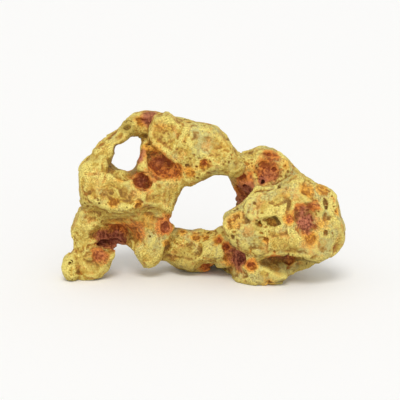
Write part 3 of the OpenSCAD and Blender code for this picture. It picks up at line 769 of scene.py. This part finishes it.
class Paint:
    """A material's node tree, built a node at a time."""

    def __init__(self, name):
        self.material = bpy.data.materials.new(name)
        self.material.use_nodes = True
        self.tree = self.material.node_tree
        self.shader = self.tree.nodes["Principled BSDF"]

    def node(self, kind, inputs=(), **settings):
        n = self.tree.nodes.new(kind)
        for key, value in settings.items():
            setattr(n, key, value)
        for key, value in dict(inputs).items():
            self.set(n.inputs[key], value)
        return n

    def set(self, socket, value):
        if isinstance(value, bpy.types.NodeSocket):
            self.tree.links.new(value, socket)
        else:
            socket.default_value = value

    def attribute(self, name, output="Fac"):
        return self.node("ShaderNodeAttribute", attribute_name=name).outputs[output]

    def noise(self, size_mm, detail=3.0, rough=0.55, offset=0.0, distortion=0.0):
        place = self.node("ShaderNodeTexCoord").outputs["Object"]
        shift = (offset, offset * 0.7, -offset)
        moved = self.node("ShaderNodeVectorMath", {0: place, 1: shift}, operation="ADD")
        return self.node(
            "ShaderNodeTexNoise",
            {
                "Vector": moved.outputs[0], "Scale": MM / size_mm, "Detail": detail,
                "Roughness": rough, "Distortion": distortion,
            },
        ).outputs[0]

    def math(self, operation, a, b):
        return self.node("ShaderNodeMath", {0: a, 1: b}, operation=operation).outputs[0]

    def between(self, value, a, b, low=0.0, high=1.0):
        return self.node(
            "ShaderNodeMapRange",
            {"Value": value, "From Min": a, "From Max": b, "To Min": low, "To Max": high},
            interpolation_type="SMOOTHSTEP",
        ).outputs[0]

    def mix(self, factor, a, b, blend="MIX"):
        n = self.tree.nodes.new("ShaderNodeMix")
        n.data_type = "RGBA"
        n.blend_type = blend
        self.set(n.inputs[0], factor)
        self.set(n.inputs[6], a)
        self.set(n.inputs[7], b)
        return n.outputs[2]


BUTTER = (0.72, 0.605, 0.158, 1)
CREAM = (0.62, 0.45, 0.094, 1)
STRAW = (0.50, 0.315, 0.042, 1)
KHAKI = (0.34, 0.22, 0.032, 1)
SAGE = (0.525, 0.485, 0.190, 1)
OCHRE = (0.36, 0.175, 0.022, 1)
PEACH = (0.66, 0.33, 0.07, 1)
BARK = (0.16, 0.075, 0.012, 1)
LOAM = (0.30, 0.185, 0.04, 1)

p = rockpaint = Paint("painted_rock")
crease, recess, depth = p.attribute("crease"), p.attribute("recess"), p.attribute("depth")
stain = p.node("ShaderNodeSeparateColor", {0: p.attribute("stain", "Color")})
rust, plum, amber = stain.outputs[0], stain.outputs[1], stain.outputs[2]
olive, under = p.attribute("olive"), p.attribute("under")
grain = p.noise(1.15, detail=3, rough=0.6, offset=0.3)
fleck = p.noise(2.2, detail=4, rough=0.65, offset=0.6)
cloud = p.noise(8, detail=4, rough=0.6, offset=0.9)


def spread(value, strength):
    """A noise moved to be about 0, and scaled."""
    return p.math("MULTIPLY", p.math("SUBTRACT", value, 0.5), strength)


def tinted(amount, colour, tint):
    """The colour multiplied by a tint, as far as amount."""
    return p.mix(amount, colour, p.mix(1.0, colour, (*tint, 1), "MULTIPLY"))


colour = p.mix(p.between(cloud, 0.36, 0.64), STRAW, CREAM)
# Sage greys the rock in clouds, most towards the boulder's end.
place = p.node("ShaderNodeTexCoord").outputs["Object"]
along = p.node("ShaderNodeSeparateXYZ", {0: place}).outputs[0]
sage = p.noise(17, detail=4, rough=0.6, offset=1.2)
sage = p.math("ADD", sage, p.math("MULTIPLY", along, 0.7))
colour = p.mix(p.between(sage, 0.46, 0.62, 0, 0.85), colour, SAGE)
khaki = p.noise(6, detail=4, rough=0.65, offset=2.1)
colour = p.mix(p.between(khaki, 0.52, 0.70, 0, 0.6), colour, KHAKI)
peach = p.noise(10, detail=4, rough=0.65, offset=3.3)
colour = p.mix(p.between(peach, 0.50, 0.66, 0, 0.8), colour, PEACH)
# Lighter edges and darker creases and hollows: partly dry-brushing and a wash of paint, partly a
# painted highlight on the edges and painted shade in the creases and hollows.
raised = p.math("ADD", p.math("MULTIPLY", crease, -0.85), p.math("MULTIPLY", recess, -0.6))
raised = p.math("ADD", raised, spread(fleck, 1.1))
colour = p.mix(p.between(raised, 0.05, 1.15, 0, 0.85), colour, BUTTER)
sunk = p.math("ADD", p.math("MULTIPLY", crease, 0.8), p.math("MULTIPLY", recess, 0.6))
sunk = p.math("ADD", sunk, spread(fleck, 0.95))
colour = p.mix(p.between(sunk, 0.05, 0.75, 0, 0.8), colour, OCHRE)
colour = p.mix(p.between(sunk, 0.7, 1.5, 0, 0.75), colour, BARK)
# Broad hollows darker still: partly the wash of paint, partly painted shade.
colour = p.mix(p.between(depth, 0.0, 1.0, 0, 0.55), colour, LOAM)
# Undersides painted darker: painted shade, as under a light from above.
colour = tinted(p.between(under, -0.1, 0.85, 0, 0.7), colour, (0.66, 0.62, 0.52))
# Stains, broken up by the flecks, each from a deeper to a lighter tone, and a little deeper in the
# creases as painted shade.
smear = p.noise(3.6, detail=4, rough=0.62, offset=8.8, distortion=0.6)
broken = p.math("ADD", spread(smear, 0.65), spread(grain, 0.12))
tone = p.math("ADD", smear, spread(grain, 0.15))
tone = p.between(p.math("SUBTRACT", tone, p.math("MULTIPLY", crease, 0.12)), 0.38, 0.62)
for amount, deep, light, most in [
    (olive, (0.20, 0.125, 0.017, 1), (0.42, 0.29, 0.050, 1), 0.75),
    (amber, (0.41, 0.15, 0.009, 1), (0.77, 0.35, 0.032, 1), 0.84),
    (rust, (0.28, 0.050, 0.006, 1), (0.64, 0.195, 0.028, 1), 0.9),
    (plum, (0.165, 0.030, 0.014, 1), (0.40, 0.128, 0.074, 1), 0.86),
]:
    amount = p.between(p.math("ADD", amount, broken), 0.10, 0.95, 0, most)
    colour = p.mix(amount, colour, p.mix(tone, deep, light))
# Grain, stronger in patches, and dark specks.
gritty = p.between(p.noise(13, detail=3, rough=0.5, offset=4.4), 0.42, 0.60, 0.4, 1.0)
light_grain = p.math("MULTIPLY", p.between(grain, 0.50, 0.66, 0, 0.85), gritty)
dark_grain = p.math("MULTIPLY", p.between(grain, 0.50, 0.34, 0, 1.0), gritty)
colour = tinted(light_grain, colour, (1.42, 1.42, 1.5))
colour = tinted(dark_grain, colour, (0.60, 0.52, 0.36))
specks = p.between(p.noise(1.3, detail=2, rough=0.5, offset=5.5), 0.64, 0.70, 0, 0.8)
colour = tinted(specks, colour, (0.36, 0.26, 0.16))
p.set(p.shader.inputs["Base Color"], colour)
p.set(p.shader.inputs["Roughness"], p.between(fleck, 0.3, 0.7, 0.58, 0.84))
p.set(p.shader.inputs["Specular IOR Level"], 0.35)
finest = p.noise(0.5, detail=2, rough=0.5, offset=7.7)
grit = p.math("ADD", grain, p.math("MULTIPLY", finest, 0.4))
bump = p.node("ShaderNodeBump", {"Height": grit, "Strength": 0.8, "Distance": 0.0006})
p.set(p.shader.inputs["Normal"], bump.outputs[0])
for o in visuals:
    o.data.materials.append(rockpaint.material)

dowel = Paint("plain_pin")
dowel.set(dowel.shader.inputs["Base Color"], (0.70, 0.65, 0.50, 1))
dowel.set(dowel.shader.inputs["Roughness"], 0.55)
for name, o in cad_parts.items():
    if name not in CASTINGS:
        o.data.materials.clear()
        o.data.materials.append(dowel.material)

# ---- the studio ---------------------------------------------------------------------------------

FLOOR = 40  # how wide the floor is, in widths of the ornament
SKY = 0.64  # how strong the white world is
LENS, SENSOR = 120, 36  # mm
LOOK_DOWN = 12  # degrees
AWAY = 4.73  # widths of the ornament from its middle to the camera
AIM_ALONG, AIM_UP = -0.0106, 0.462  # where the camera looks, in widths and heights

low, high = cad_box
width = high[0] - low[0]
height = high[2] - low[2]

bpy.ops.mesh.primitive_plane_add(size=FLOOR * width, location=(0, 0, low[2]))
floor = bpy.context.active_object
floor.name = "floor"
paper = Paint("pale_floor")
paper.set(paper.shader.inputs["Base Color"], (0.96, 0.96, 0.955, 1))
paper.set(paper.shader.inputs["Roughness"], 0.9)
paper.set(paper.shader.inputs["Specular IOR Level"], 0.1)
floor.data.materials.append(paper.material)

world = bpy.data.worlds.new("studio")
bpy.context.scene.world = world
world.use_nodes = True
world.node_tree.nodes["Background"].inputs[0].default_value = (1.0, 1.0, 1.0, 1)
world.node_tree.nodes["Background"].inputs[1].default_value = SKY

aim = Vector((AIM_ALONG * width, 0, low[2] + AIM_UP * height))


def sunlight(name, energy, size, azimuth, elevation, colour):
    """A soft light, size degrees across. Azimuth is 0 in front and 90 at the right."""
    lamp = bpy.data.lights.new(name, "SUN")
    lamp.energy = energy
    lamp.angle = math.radians(size)
    lamp.color = colour
    o = bpy.data.objects.new(name, lamp)
    a, e = math.radians(azimuth), math.radians(elevation)
    to_light = Vector((math.sin(a) * math.cos(e), -math.cos(a) * math.cos(e), math.sin(e)))
    o.rotation_euler = (-to_light).to_track_quat("-Z", "Y").to_euler()
    bpy.context.scene.collection.objects.link(o)


sunlight("soft_key", energy=1.34, size=26, azimuth=-3, elevation=54, colour=(1.0, 0.985, 0.955))
sunlight("low_fill", energy=0.72, size=50, azimuth=10, elevation=6, colour=(1.0, 0.99, 0.97))

camera = bpy.data.cameras.new("camera")
camera.lens = LENS
camera.sensor_width = SENSOR
rig = bpy.data.objects.new("camera", camera)
down = math.radians(LOOK_DOWN)
rig.location = aim + AWAY * width * Vector((0, -math.cos(down), math.sin(down)))
rig.rotation_euler = (aim - rig.location).to_track_quat("-Z", "Y").to_euler()
bpy.context.scene.collection.objects.link(rig)
bpy.context.scene.camera = rig

scene = bpy.context.scene
scene.view_settings.view_transform = "Standard"
scene.view_settings.look = "None"
